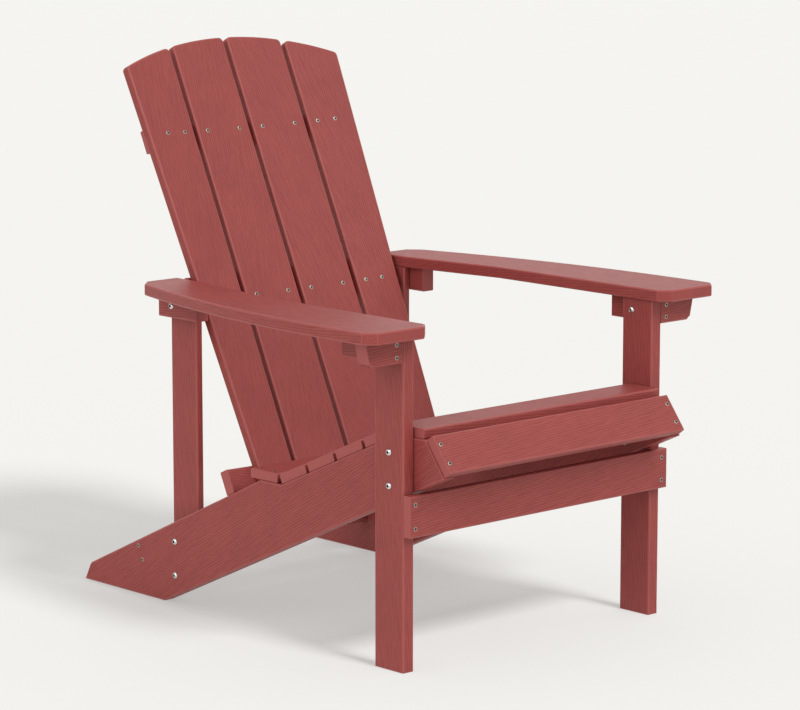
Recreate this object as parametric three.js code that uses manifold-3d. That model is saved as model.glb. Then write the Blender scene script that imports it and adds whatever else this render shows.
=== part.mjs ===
// Fixed Adirondack garden chair in plastic lumber: boards, bolts and nuts, one mesh for each piece.
// Millimetres, +Z up, front towards -Y. Left and right are the sitter's, so left is +X.
// While it is built, Y runs from the front faces of the front legs; the end of the file centres it.
import * as THREE from "three";
import { mergeVertices } from "three/addons/utils/BufferGeometryUtils.js";
import Module from "manifold-3d";

const wasm = await Module();
wasm.setup();

// Board stock: thicknesses, and the width of each board that is not cut to an outline.
const legThick = 22;
const legWidth = 65;
const postThick = 14;
const postWidth = 65;
const stringerThick = 23;
const armThick = 19.5;
const slatThick = 16;
const seatSlatWidth = 65.5;
const stretcherWidth = 65;
const blockThick = 25;
const blockHeight = 40;
const railThick = 20;
const railWidth = 40;
const middleRailWidth = 65;

// Clearances.
const seam = 0.2; // between two boards that touch
const fit = 0.3; // between a raked piece and what it rests on
const boltPlay = 0.3; // round a bolt, in its hole
const endPlay = 3; // from a cross board's end to the outer face of the stringer under it
const tuck = 0.8; // from the front stretcher up to the stringers' soles

// Overall layout.
const legSpan = 564; // across the outer faces of the front legs
const armSpan = 762; // across the arms' outer edges
const armTop = 538;
const seatFrontHeight = 362.5; // of the stringers' front landing, under the nose slat
const seatRearHeight = 242.5; // of their rear landing, under the last slat
const seatPitch = THREE.MathUtils.degToRad(23.8);
const recline = THREE.MathUtils.degToRad(25.2); // of the back, square to the stringers' tails

// Stringers, seen from the side.
const landingFront = 311; // front end of the rear landing
const landingLength = 50;
const noseFront = -23.5; // front end of the front landing
const noseDrop = 55; // height of the slanted front cut
const nosePitch = THREE.MathUtils.degToRad(52.8);
const solePitch = THREE.MathUtils.degToRad(24.44);
const heel = 827; // rear end on the floor
const heelLean = THREE.MathUtils.degToRad(27.5);
const heelRadius = 15;

// Seat slats.
const slopeSlats = 4;
const slatGap = 6.7;
const slopeStart = 0.5; // from the rear landing to the first slat on the slope
const noseSlatFront = -19;
const rearSlatFront = 322;
const apronDrop = 1.5; // of the apron slat below the front landing

// Back: four slats on three rails, measured up the rake from the stringers' top edges.
const backSetback = 61.5; // from the rear landing to the slats' outer edges, at the front
const backHollow = 10.5; // of the slats' curve seen from above, from its outer edges to its middle
const backHeight = 775.4; // up the rake, at the crown
const crownRadius = 617;
const innerSlatWidth = 113.8;
const backGap = 8.2;
const footHalfWidth = 201;
const topHalfWidth = 232;
const cornerRadius = 8;
const middleRailDrop = 23.4; // of the middle rail's foot below the rear arm bolts
const railBoltDepth = 11.36; // from the middle rail's front face back to the bolts' centres
const upperRailFoot = 588;
const upperRailLength = 426;

// Rear posts and stretchers.
const postLift = 3; // of the posts' feet over the stringers' soles
const rearStretcherPlace = 355.8; // down the tail, from the rear landing to its middle
const rearStretcherInset = 2; // below the tail's top edge

// Arms, seen from above, and the blocks that carry them.
const armFront = -34;
const armInner = 253; // from the middle plane to the inner edge
const armCorner = 17;
const armRearCorner = 20;
const armTaperEnd = 345; // where the inner edge starts to draw in
const armCurveStart = 60;
const armCurveRadius = 1940;
const frontBlockLength = 86;
const rearBlockLength = 97;
const cleatLength = 76;
const cleatSlant = 9;
const cleatNick = 5;

// Bolts and nuts, M6.
const shankRadius = 3;
const headRadius = 5.5;
const headHeight = 3.4;
const socketWidth = 4; // across flats
const socketDepth = 2;
const nutWidth = 10;
const nutHeight = 5;
const nutPlay = 0.15;
const boltTip = 2; // past the nut
const legBoltSpread = 52;
const postBoltSpread = 57;
const railBite = 24; // of the rear arm bolts into the middle rail
const roundSides = 20;
const railSteps = 16; // straight steps in a rail's curve

// Worked out from the sizes above.
const legOutside = legSpan / 2;
const stringerOutside = legOutside - legThick;
const stringerInside = stringerOutside - stringerThick;
const postInside = stringerInside - postThick;
const crossHalf = stringerOutside - endPlay;
const armUnderside = armTop - armThick;
const blockFoot = armUnderside - blockHeight;
const boltRadius = shankRadius + boltPlay;
const landingRear = landingFront + landingLength;
const slopeEnd = landingFront - (seatFrontHeight - seatRearHeight) / Math.tan(seatPitch);
const noseFootY = noseFront - noseDrop / Math.tan(nosePitch);
const noseFootZ = seatFrontHeight - noseDrop;
const soleStart = noseFootY + noseFootZ / Math.tan(solePitch);
const soleHeight = (y) => Math.max(0, (soleStart - y) * Math.tan(solePitch));
const tailHeight = (y) => seatRearHeight - (y - landingRear) * Math.tan(recline);
const railFront = backSetback + slatThick + fit;
const railRear = railFront + railThick;

// The rear arm bolts go through the middle of the posts into the ends of the middle rail, so
// the arms' height settles how far up the rake that rail sits and how far back the posts stand.
const armBoltZ = blockFoot + blockHeight / 2;
const boltBack = railFront + railBoltDepth;
const boltUp = (armBoltZ - seatRearHeight + boltBack * Math.sin(recline)) / Math.cos(recline);
const postBoltY = landingRear + boltBack * Math.cos(recline) + boltUp * Math.sin(recline);
const middleRailFoot = boltUp - middleRailDrop;
const postFront = postBoltY - postWidth / 2;
const postRear = postFront + postWidth;

const plastic = { color: 0x9a4f4c, roughness: 0.62, metalness: 0 };
const steel = { color: 0xb9bab6, roughness: 0.28, metalness: 1 };

const chair = new THREE.Group();
chair.name = "adirondack_chair";
const raked = new THREE.Group(); // +Y runs down the stringers' tails, +Z up the back
raked.position.set(0, landingRear, seatRearHeight);
raked.rotation.x = -recline;
const slope = new THREE.Group(); // +Y runs down the seat, +Z up out of it
slope.position.set(0, landingFront, seatRearHeight);
slope.rotation.x = -seatPitch;
const nose = new THREE.Group(); // +Y runs up the slanted front cut, -Z out of it
nose.position.set(0, noseFront, seatFrontHeight);
nose.rotation.x = nosePitch;
chair.add(raked, slope, nose);

function addPiece(name, geometry, look, parent = chair) {
  const mesh = new THREE.Mesh(geometry, new THREE.MeshStandardMaterial(look));
  mesh.name = name;
  parent.add(mesh);
  return mesh;
}

const regular = (sides, radius, [x, y] = [0, 0]) => Array.from({ length: sides }, (_, i) => {
  const angle = (2 * Math.PI * i) / sides;
  return [x + radius * Math.cos(angle), y + radius * Math.sin(angle)];
});
const hexagon = (acrossFlats) => regular(6, acrossFlats / Math.sqrt(3));
const path = (points) => points.map(([x, y]) => new THREE.Vector2(x, y));

// A flat outline, pierced by round holes at the given places, drawn out along +Z.
function extrude(points, depth, holes = [], holeRadius = boltRadius) {
  const shape = new THREE.Shape(path(points));
  shape.holes = holes.map((place) => new THREE.Path(path(regular(roundSides, holeRadius, place))));
  return new THREE.ExtrudeGeometry(shape, { depth, bevelEnabled: false });
}

const rectangle = (x0, x1, y0, y1) => [[x0, y0], [x1, y0], [x1, y1], [x0, y1]];

// A board cut from a side view: the outline holds [y, z], and the board runs from x0 to x1.
const sideView = new THREE.Matrix4().makeBasis(
  new THREE.Vector3(0, 1, 0), new THREE.Vector3(0, 0, 1), new THREE.Vector3(1, 0, 0));
function addSideBoard(name, outline, x0, x1, holes) {
  const low = Math.min(x0, x1);
  const geometry = extrude(outline, Math.max(x0, x1) - low, holes).applyMatrix4(sideView);
  addPiece(name, geometry, plastic).position.x = low;
}

// A board cut from a front view: the outline holds [x, z], and the board runs from y0 to y1.
const frontView = new THREE.Matrix4().makeBasis(
  new THREE.Vector3(1, 0, 0), new THREE.Vector3(0, 0, 1), new THREE.Vector3(0, -1, 0));
function addFrontBoard(name, outline, y0, y1, parent) {
  const geometry = extrude(outline, y1 - y0).applyMatrix4(frontView);
  addPiece(name, geometry, plastic, parent).position.y = y1;
}

// A plain board from one corner to the opposite one.
function addBoard(name, low, high, parent) {
  const size = high.map((value, i) => value - low[i]);
  const mesh = addPiece(name, new THREE.BoxGeometry(...size), plastic, parent);
  mesh.position.set(...low.map((value, i) => value + size[i] / 2));
  return mesh;
}

function solidOf(geometry) {
  const bare = geometry.clone().deleteAttribute("normal").deleteAttribute("uv");
  const merged = mergeVertices(bare, 1e-4);
  const corners = Array.from(merged.index.array);
  const faces = [];
  for (let i = 0; i < corners.length; i += 3) {
    const [a, b, c] = corners.slice(i, i + 3);
    if (a !== b && b !== c && c !== a) faces.push(a, b, c);
  }
  return new wasm.Manifold(new wasm.Mesh({
    numProp: 3,
    vertProperties: merged.attributes.position.array,
    triVerts: new Uint32Array(faces),
  }));
}

function geometryOf(solid) {
  const mesh = solid.getMesh();
  const geometry = new THREE.BufferGeometry();
  geometry.setAttribute("position", new THREE.BufferAttribute(mesh.vertProperties, 3));
  geometry.setIndex(new THREE.BufferAttribute(mesh.triVerts, 1));
  geometry.computeVertexNormals();
  return geometry;
}

// Bolt along X: head outside the face at x = 0, shank towards +X.
function boltGeometry(length) {
  const dome = Array.from({ length: 7 }, (_, i) => {
    const angle = (i * Math.PI) / 12;
    return new THREE.Vector2(headRadius * Math.cos(angle), -headHeight * Math.sin(angle));
  });
  const profile = [
    new THREE.Vector2(0, length), new THREE.Vector2(shankRadius, length),
    new THREE.Vector2(shankRadius, 0), ...dome.slice(0, 6), new THREE.Vector2(0, -headHeight),
  ].reverse();
  const body = solidOf(new THREE.LatheGeometry(profile, roundSides));
  const socket = extrude(hexagon(socketWidth), socketDepth + 1).rotateX(-Math.PI / 2)
    .translate(0, -headHeight - 1, 0);
  return geometryOf(body.subtract(solidOf(socket))).rotateZ(-Math.PI / 2);
}

// A bolt with its head on the face at x, pointing inwards to the middle plane or outwards.
function addBolt(name, x, y, z, length, towards) {
  const geometry = boltGeometry(length);
  if (towards < 0) geometry.rotateZ(Math.PI);
  addPiece(name, geometry, steel).position.set(x, y, z);
}

function addNut(name, x, y, z, towards) {
  const geometry = extrude(hexagon(nutWidth), nutHeight, [[0, 0]], shankRadius + nutPlay)
    .applyMatrix4(sideView);
  const low = towards < 0 ? x - nutHeight : x;
  addPiece(name, geometry, steel).position.set(low, y, z);
}

// Stringer outline, from the nose foot round the top to the heel and back along the sole.
const heelSlope = Math.tan(heelLean);
const heelTopZ = (tailHeight(heel)) / (1 - Math.tan(recline) * heelSlope);
const heelTop = new THREE.Vector2(heel - heelTopZ * heelSlope, heelTopZ);
const tailLine = new THREE.Vector2(-Math.cos(recline), Math.sin(recline));
const heelLine = new THREE.Vector2(Math.sin(heelLean), -Math.cos(heelLean));
const heelTurn = Math.PI - tailLine.angleTo(heelLine);
const heelTangent = heelRadius * Math.tan(heelTurn / 2);
const heelStart = heelTop.clone().addScaledVector(tailLine, heelTangent);
const heelRound = Array.from({ length: 6 }, (_, i) => {
  const turn = (i * heelTurn) / 5;
  const along = heelRadius * Math.sin(turn);
  const inward = heelRadius * (1 - Math.cos(turn));
  return [
    heelStart.x - tailLine.x * along - tailLine.y * inward,
    heelStart.y - tailLine.y * along + tailLine.x * inward,
  ];
});
const stringerOutline = [
  [noseFootY, noseFootZ], [noseFront, seatFrontHeight], [slopeEnd, seatFrontHeight],
  [landingFront, seatRearHeight], [landingRear, seatRearHeight],
  ...heelRound, [heel, 0], [soleStart, 0],
];

// Bolt places, in the middle of the depth that each pair of boards shares.
const spread = (middle, distance) => [middle + distance / 2, middle - distance / 2];
const legBoltY = legWidth / 2;
const legBoltZ = spread((seatFrontHeight + soleHeight(legBoltY)) / 2, legBoltSpread);
const postBoltZ = spread((tailHeight(postBoltY) + soleHeight(postBoltY)) / 2, postBoltSpread);
const armBoltY = (blockThick + legWidth) / 2;
const holes = (y, heights) => heights.map((z) => [y, z]);

// Arm outline seen from above, for the side at +X.
const curveCentre = (armSpan / 2) - armCurveRadius;
const armEdge = (y) => curveCentre + Math.sqrt(armCurveRadius ** 2 - (y - armCurveStart) ** 2);
const curveEnd = postRear - armRearCorner;
const armOutline = [
  [armInner, armFront + armCorner], [armInner + armCorner, armFront],
  [armSpan / 2 - armCorner, armFront], [armSpan / 2, armFront + armCorner],
  ...Array.from({ length: 13 }, (_, i) => {
    const y = armCurveStart + (i * (curveEnd - armCurveStart)) / 12;
    return [armEdge(y), y];
  }),
  [armEdge(curveEnd) - armRearCorner, postRear], [postInside, postRear],
  [postInside, postFront], [armInner, armTaperEnd],
];

// Cleat outline seen from the front, for the side at +X.
const cleatEnd = legOutside + cleatLength;
const cleatLow = cleatEnd - cleatSlant;
const cleatOutline = [
  [legOutside + seam, blockFoot], [cleatLow - cleatNick, blockFoot],
  [cleatLow + (cleatSlant * cleatNick) / blockHeight, blockFoot + cleatNick],
  [cleatEnd, armUnderside - seam], [legOutside + seam, armUnderside - seam],
];

for (const [hand, side] of [["left", 1], ["right", -1]]) {
  const across = (points) => points.map(([x, y]) => [side * x, y]);
  const boardTop = armUnderside - seam;

  addSideBoard(`side_stringer_${hand}`, stringerOutline, side * (stringerOutside - seam),
    side * stringerInside, [...holes(legBoltY, legBoltZ), ...holes(postBoltY, postBoltZ)]);
  addSideBoard(`front_leg_${hand}`, rectangle(0, legWidth, 0, boardTop), side * legOutside,
    side * stringerOutside, [...holes(legBoltY, legBoltZ), [armBoltY, armBoltZ]]);
  addSideBoard(`rear_post_${hand}`,
    rectangle(postFront, postRear, soleHeight(postFront) + postLift, boardTop),
    side * (stringerInside - seam), side * postInside,
    [...holes(postBoltY, postBoltZ), [postBoltY, armBoltZ]]);
  addSideBoard(`front_arm_block_${hand}`,
    rectangle(blockThick + seam, blockThick + frontBlockLength, blockFoot, boardTop),
    side * (legOutside + seam), side * (legOutside + blockThick), [[armBoltY, armBoltZ]]);
  addSideBoard(`rear_arm_block_${hand}`,
    rectangle(postRear - rearBlockLength, postRear, blockFoot, boardTop),
    side * stringerInside, side * (stringerInside + blockThick), [[postBoltY, armBoltZ]]);
  addFrontBoard(`front_arm_cleat_${hand}`, across(cleatOutline), 0, blockThick);
  addPiece(`arm_${hand}`, extrude(across(armOutline), armThick), plastic)
    .position.z = armUnderside;

  ["upper", "lower"].forEach((level, i) => {
    const legGrip = legThick + stringerThick;
    addBolt(`leg_bolt_${level}_${hand}`, side * legOutside, legBoltY, legBoltZ[i],
      legGrip + nutHeight + boltTip, -side);
    addNut(`leg_nut_${level}_${hand}`, side * stringerInside, legBoltY, legBoltZ[i], -side);
    const postGrip = stringerThick + postThick;
    addBolt(`post_bolt_${level}_${hand}`, side * stringerOutside, postBoltY, postBoltZ[i],
      postGrip + nutHeight + boltTip, -side);
    addNut(`post_nut_${level}_${hand}`, side * postInside, postBoltY, postBoltZ[i], -side);
  });
  const armGrip = legThick + blockThick;
  addBolt(`front_arm_bolt_${hand}`, side * stringerOutside, armBoltY, armBoltZ,
    armGrip + nutHeight + boltTip, side);
  addNut(`front_arm_nut_${hand}`, side * (legOutside + blockThick), armBoltY, armBoltZ, side);
  addBolt(`rear_arm_bolt_${hand}`, side * (stringerInside + blockThick), postBoltY, armBoltZ,
    blockThick + postThick + railBite, -side);
}

// Seat: the nose slat lies level, four slats go down the slope, and the last lies level again.
addBoard("seat_slat_1", [-crossHalf, noseSlatFront, seatFrontHeight + seam],
  [crossHalf, noseSlatFront + seatSlatWidth, seatFrontHeight + slatThick]);
for (let i = 0; i < slopeSlats; i++) {
  const rear = -slopeStart - (slopeSlats - 1 - i) * (seatSlatWidth + slatGap);
  addBoard(`seat_slat_${i + 2}`, [-crossHalf, rear - seatSlatWidth, fit],
    [crossHalf, rear, slatThick + fit], slope);
}
addBoard(`seat_slat_${slopeSlats + 2}`, [-crossHalf, rearSlatFront, seatRearHeight + seam],
  [crossHalf, rearSlatFront + seatSlatWidth, seatRearHeight + slatThick]);

// Apron on the slanted front cut, and the two stretchers.
addBoard("front_apron_slat", [-crossHalf, -apronDrop - seatSlatWidth, fit],
  [crossHalf, -apronDrop, slatThick + fit], nose);
const stretcherTop = soleHeight(0) - tuck;
addBoard("front_stretcher", [-legOutside, -slatThick, stretcherTop - stretcherWidth],
  [legOutside, -seam, stretcherTop]);
addBoard("rear_stretcher",
  [-stringerInside + seam, rearStretcherPlace - railThick / 2, -rearStretcherInset - railWidth],
  [stringerInside - seam, rearStretcherPlace + railThick / 2, -rearStretcherInset], raked);

// Back rails, curved to carry the slats. The rear arm bolts go into the ends of the middle one.
const hollowAt = (x) => backHollow * (1 - (x / topHalfWidth) ** 2);
function addRail(level, half, foot, width) {
  const curve = (depth) => Array.from({ length: railSteps + 1 }, (_, i) => {
    const x = half * ((2 * i) / railSteps - 1);
    return [x, depth + hollowAt(x)];
  });
  const outline = [...curve(railFront), ...curve(railRear).reverse()];
  const mesh = addPiece(`back_rail_${level}`, extrude(outline, width), plastic, raked);
  mesh.position.z = foot;
  return mesh;
}
addRail("lower", crossHalf, fit, railWidth);
addRail("upper", upperRailLength / 2, upperRailFoot, railWidth);
const middleRail = addRail("middle", postInside - seam, middleRailFoot, middleRailWidth);
const drillLength = 2 * (railBite + boltPlay);
let drilled = solidOf(middleRail.geometry);
for (const side of [1, -1]) {
  const drill = new THREE.CylinderGeometry(boltRadius, boltRadius, drillLength, roundSides)
    .rotateZ(Math.PI / 2)
    .translate(side * (postInside - seam), boltBack, boltUp - middleRailFoot);
  drilled = drilled.subtract(solidOf(drill));
}
middleRail.geometry = geometryOf(drilled);

// Back slats, each flat and turned to the rails' curve: the inner edges stand straight, the
// outer pair taper to the foot, and one arc crowns all four.
const crownHeight = (x) => backHeight - crownRadius + Math.sqrt(crownRadius ** 2 - x ** 2);
const flankSlope = (topHalfWidth - footHalfWidth) / backHeight;

// Rounds the corner at b, between the edges from a and to c.
function roundCorner(a, b, c, radius) {
  const [before, corner, after] = path([a, b, c]);
  const back = before.sub(corner).normalize();
  const on = after.sub(corner).normalize();
  const half = back.angleTo(on) / 2;
  const centre = back.clone().add(on).normalize().multiplyScalar(radius / Math.sin(half))
    .add(corner);
  const first = back.clone().multiplyScalar(radius / Math.tan(half)).add(corner).sub(centre);
  const sweep = (Math.PI - 2 * half) * Math.sign(on.cross(back));
  return Array.from({ length: 5 }, (_, i) => {
    const arm = first.clone().rotateAround(new THREE.Vector2(), (sweep * i) / 4);
    return [centre.x + arm.x, centre.y + arm.y];
  });
}

function slatOutline(inner, outerFoot, lean) {
  const foot = fit;
  const outerAt = (z) => outerFoot + lean * (z - foot);
  let outerTop = crownHeight(outerFoot);
  for (let i = 0; i < 6; i++) outerTop = crownHeight(outerAt(outerTop));
  const outer = outerAt(outerTop);
  const crown = Array.from({ length: 9 }, (_, i) => {
    const x = outer + ((inner - outer) * i) / 8;
    return [x, crownHeight(x)];
  });
  const low = [outerFoot, foot];
  const end = [inner, foot];
  return [
    low, ...roundCorner(low, crown[0], crown[1], cornerRadius), ...crown.slice(1, -1),
    ...roundCorner(crown.at(-2), crown.at(-1), end, cornerRadius), end,
  ];
}

const innerSlat = {
  inner: backGap / 2,
  outer: backGap / 2 + innerSlatWidth,
  footEdge: backGap / 2 + innerSlatWidth,
  lean: 0,
};
const outerSlat = {
  inner: innerSlat.outer + backGap,
  outer: topHalfWidth,
  footEdge: footHalfWidth,
  lean: flankSlope,
};
const slatsAcross = [[outerSlat, 1], [innerSlat, 1], [innerSlat, -1], [outerSlat, -1]];
slatsAcross.forEach(([{ inner, outer, footEdge, lean }, side], i) => {
  const turned = new THREE.Group(); // set on the slat's inner edge, +X along the slat's width
  turned.position.set(side * inner, backSetback + hollowAt(inner), 0);
  turned.rotation.z = -side * Math.atan2(hollowAt(inner) - hollowAt(outer), outer - inner);
  raked.add(turned);
  const outline = slatOutline(inner, footEdge, lean).map(([x, z]) => [side * (x - inner), z]);
  addFrontBoard(`back_slat_${i + 1}`, outline, 0, slatThick, turned);
});

// Centre the chair over the origin, front to back.
chair.updateMatrixWorld(true);
const bounds = new THREE.Box3().setFromObject(chair, true);
chair.position.y = -(bounds.min.y + bounds.max.y) / 2;

export default chair;
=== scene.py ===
import math

import bmesh
import bpy
from mathutils import Matrix, Vector


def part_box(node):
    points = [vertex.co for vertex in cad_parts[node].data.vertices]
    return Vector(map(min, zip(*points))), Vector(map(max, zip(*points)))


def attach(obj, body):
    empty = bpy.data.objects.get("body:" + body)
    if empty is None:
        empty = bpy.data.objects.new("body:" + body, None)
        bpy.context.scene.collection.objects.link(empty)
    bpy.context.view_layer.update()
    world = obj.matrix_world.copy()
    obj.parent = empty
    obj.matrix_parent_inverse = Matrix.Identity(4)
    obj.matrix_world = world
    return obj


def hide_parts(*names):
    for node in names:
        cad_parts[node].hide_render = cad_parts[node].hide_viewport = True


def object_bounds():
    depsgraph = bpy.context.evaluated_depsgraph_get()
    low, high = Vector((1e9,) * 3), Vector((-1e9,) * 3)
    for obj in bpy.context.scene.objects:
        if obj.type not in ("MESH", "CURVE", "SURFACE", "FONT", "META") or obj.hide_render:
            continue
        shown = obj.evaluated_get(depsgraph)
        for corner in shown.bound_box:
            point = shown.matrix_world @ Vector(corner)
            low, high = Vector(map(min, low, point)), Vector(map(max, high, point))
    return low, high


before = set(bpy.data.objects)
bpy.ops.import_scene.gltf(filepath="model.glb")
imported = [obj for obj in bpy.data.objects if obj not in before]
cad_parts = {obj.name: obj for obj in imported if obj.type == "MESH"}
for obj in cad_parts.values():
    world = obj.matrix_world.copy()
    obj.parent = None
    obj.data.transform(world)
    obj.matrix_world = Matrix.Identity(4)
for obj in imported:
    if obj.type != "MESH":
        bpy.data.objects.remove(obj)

cad_low, cad_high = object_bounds()

bl_info = {
    "name": "Adirondack Garden Chair",
    "version": (1, 0, 0),
    "blender": (4, 5, 0),
    "location": "3D View > Sidebar > Garden Chair",
    "description": "Builds a plastic-lumber Adirondack chair with its bolts, nuts, screws and studio",
    "category": "Add Mesh",
}

MM = 0.001
HANDS = (("left", 1), ("right", -1))
STRINGERS = ("side_stringer_left", "side_stringer_right")
LEGS = ("front_leg_left", "front_leg_right")
SEAT_SLATS = tuple(f"seat_slat_{i}" for i in range(1, 7))
BACK_SLATS = tuple(f"back_slat_{i}" for i in range(1, 5))
CURVED_RAILS = ("back_rail_lower", "back_rail_middle", "back_rail_upper")
FACE, ROUNDED, SAWN = range(3)  # material slots of every board
SHANK_RADIUS = 3 * MM  # of the bolts, and of the nuts' bores
BOLT_SIDES, SCREW_SIDES = 48, 24  # flats round a turned shape
POLYETHYLENE = {"IOR": 1.52, "Specular_IOR_Level": 0.25}  # a skin that embossing has dulled


def hex_colour(code):
    """An sRGB hex colour as the linear colour that shaders and lamps use."""
    channels = [int(code[i : i + 2], 16) / 255 for i in (1, 3, 5)]
    linear = [c / 12.92 if c <= 0.04045 else ((c + 0.055) / 1.055) ** 2.4 for c in channels]
    return (*linear, 1)


# ---------------------------------------------------------------------------------------
# Sizes and colours that a user may change
# ---------------------------------------------------------------------------------------


class LumberSettings(bpy.types.PropertyGroup):
    face_colour: bpy.props.FloatVectorProperty(
        name="Face colour", description="Brick red that the polyethylene is dyed through",
        subtype="COLOR", size=4, min=0, max=1, default=hex_colour("#93433f"))
    groove_colour: bpy.props.FloatVectorProperty(
        name="Groove colour", description="Deeper red in the hollows of the embossing",
        subtype="COLOR", size=4, min=0, max=1, default=hex_colour("#843935"))
    # Painted highlight: the rounded edges are painted paler than the faces, for the light they catch.
    edge_highlight_colour: bpy.props.FloatVectorProperty(
        name="Rounded edge colour", description="Paler red where the edges are burnished",
        subtype="COLOR", size=4, min=0, max=1, default=hex_colour("#9f5350"))
    sawn_colour: bpy.props.FloatVectorProperty(
        name="Sawn end colour", description="Paler, chalky red of the cut ends",
        subtype="COLOR", size=4, min=0, max=1, default=hex_colour("#9f5350"))
    edge_radius: bpy.props.FloatProperty(
        name="Edge radius", description="Rounding along the grain", unit="LENGTH", default=2.8 * MM)
    end_radius: bpy.props.FloatProperty(
        name="End radius", description="Rounding round the sawn ends", unit="LENGTH", default=0.7 * MM)
    grain_spacing: bpy.props.FloatProperty(
        name="Grain spacing", description="From one embossed line to the next",
        unit="LENGTH", default=4.2 * MM)
    grain_length: bpy.props.FloatProperty(
        name="Grain length", description="Length over which a line wanders",
        unit="LENGTH", default=60 * MM)
    grain_depth: bpy.props.FloatProperty(
        name="Grain depth", description="Depth of the embossing", unit="LENGTH", default=0.22 * MM)
    roughness: bpy.props.FloatProperty(
        name="Roughness", description="Dullness of the faces", subtype="FACTOR", default=0.46)


class HardwareSettings(bpy.types.PropertyGroup):
    bolt_colour: bpy.props.FloatVectorProperty(
        name="Bolt colour", description="Bright zinc plate on the button heads",
        subtype="COLOR", size=4, min=0, max=1, default=hex_colour("#dcdedc"))
    zinc_colour: bpy.props.FloatVectorProperty(
        name="Screw and nut colour", description="Dull, slightly yellow zinc plate",
        subtype="COLOR", size=4, min=0, max=1, default=hex_colour("#b3aca0"))
    thread_pitch: bpy.props.FloatProperty(
        name="Thread pitch", description="Of the bolts and nuts", unit="LENGTH", default=1.0 * MM)
    screw_head: bpy.props.FloatProperty(
        name="Screw head", description="Diameter of a countersunk head", unit="LENGTH",
        default=7.2 * MM)
    screw_length: bpy.props.FloatProperty(
        name="Screw length", description="From the head's rim to the tip", unit="LENGTH",
        default=28 * MM)
    screw_sink: bpy.props.FloatProperty(
        name="Screw sink", description="Of a head below the board's face", unit="LENGTH",
        default=0.35 * MM)
    side_inset: bpy.props.FloatProperty(
        name="Inset on the back slats", description="From a slat's straight edge to its screws",
        unit="LENGTH", default=22 * MM)


class StageSettings(bpy.types.PropertyGroup):
    floor_colour: bpy.props.FloatVectorProperty(
        name="Floor colour", description="Matt skin of the studio floor",
        subtype="COLOR", size=4, min=0, max=1, default=hex_colour("#90908e"))
    floor_glow: bpy.props.FloatVectorProperty(
        name="Floor glow", description="Light from under the studio floor",
        subtype="COLOR", size=4, min=0, max=1, default=hex_colour("#fffefb"))
    glow_strength: bpy.props.FloatProperty(
        name="Glow strength", description="Brightness of the light under the floor", default=0.42)
    floor_key_strength: bpy.props.FloatProperty(
        name="Floor key strength", description="Light that draws the chair's shadow", default=4.0)
    sky_strength: bpy.props.FloatProperty(
        name="Sky strength", description="Even light from the white studio", default=0.8)
    key_strength: bpy.props.FloatProperty(
        name="Key strength", description="Light from high in front of the chair", default=1.3)
    key_elevation: bpy.props.FloatProperty(
        name="Key elevation", description="Height of the key light over the horizon",
        subtype="ANGLE", default=math.radians(45))
    key_azimuth: bpy.props.FloatProperty(
        name="Key azimuth", description="Turn of the key light from straight ahead, towards +X",
        subtype="ANGLE", default=math.radians(12))
    key_spread: bpy.props.FloatProperty(
        name="Key spread", description="Width of the key light, seen from the chair",
        subtype="ANGLE", default=math.radians(25))
    floor_key_elevation: bpy.props.FloatProperty(
        name="Floor key elevation", description="Height of the shadow's light over the horizon",
        subtype="ANGLE", default=math.radians(47))
    floor_key_azimuth: bpy.props.FloatProperty(
        name="Floor key azimuth", description="Turn of the shadow's light from straight ahead, towards +X",
        subtype="ANGLE", default=math.radians(0))
    floor_key_spread: bpy.props.FloatProperty(
        name="Floor key spread", description="Width of the shadow's light, seen from the chair",
        subtype="ANGLE", default=math.radians(14))
    side_strength: bpy.props.FloatProperty(
        name="Side strength", description="Broad light on the chair from its right", default=0.9)
    side_elevation: bpy.props.FloatProperty(
        name="Side elevation", description="Height of the side light over the horizon",
        subtype="ANGLE", default=math.radians(30))
    side_azimuth: bpy.props.FloatProperty(
        name="Side azimuth", description="Turn of the side light from straight ahead, towards +X",
        subtype="ANGLE", default=math.radians(-80))
    side_spread: bpy.props.FloatProperty(
        name="Side spread", description="Width of the side light, seen from the chair",
        subtype="ANGLE", default=math.radians(50))
    rear_strength: bpy.props.FloatProperty(
        name="Rear strength", description="Low light behind the chair, a sheen on its top faces",
        default=0.2)
    rear_elevation: bpy.props.FloatProperty(
        name="Rear elevation", description="Height of the rear light over the horizon",
        subtype="ANGLE", default=math.radians(20))
    rear_azimuth: bpy.props.FloatProperty(
        name="Rear azimuth", description="Turn of the rear light from straight ahead, towards +X",
        subtype="ANGLE", default=math.radians(137))
    rear_spread: bpy.props.FloatProperty(
        name="Rear spread", description="Width of the rear light, seen from the chair",
        subtype="ANGLE", default=math.radians(50))
    lens: bpy.props.FloatProperty(
        name="Lens", description="Focal length on a 36 mm sensor, in millimetres", default=148.9)
    camera_place: bpy.props.FloatVectorProperty(
        name="Camera place", description="Where the camera stands", subtype="TRANSLATION",
        unit="LENGTH", default=(-3.5853, -3.9689, 1.3148))
    camera_azimuth: bpy.props.FloatProperty(
        name="Camera azimuth", description="Round the chair from its front, towards +X",
        subtype="ANGLE", default=math.radians(-42.53))
    camera_elevation: bpy.props.FloatProperty(
        name="Camera elevation", description="How far the camera looks down",
        subtype="ANGLE", default=math.radians(9.57))


# ---------------------------------------------------------------------------------------
# Materials
# ---------------------------------------------------------------------------------------


def add_node(tree, kind, inputs=None, **settings):
    """Adds a node with its settings, and gives each named input a value or a link."""
    node = tree.nodes.new(kind)
    for name, value in settings.items():
        setattr(node, name, value)
    for name, value in (inputs or {}).items():
        if isinstance(value, bpy.types.NodeSocket):
            tree.links.new(value, node.inputs[name])
        else:
            node.inputs[name].default_value = value
    return node


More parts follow.
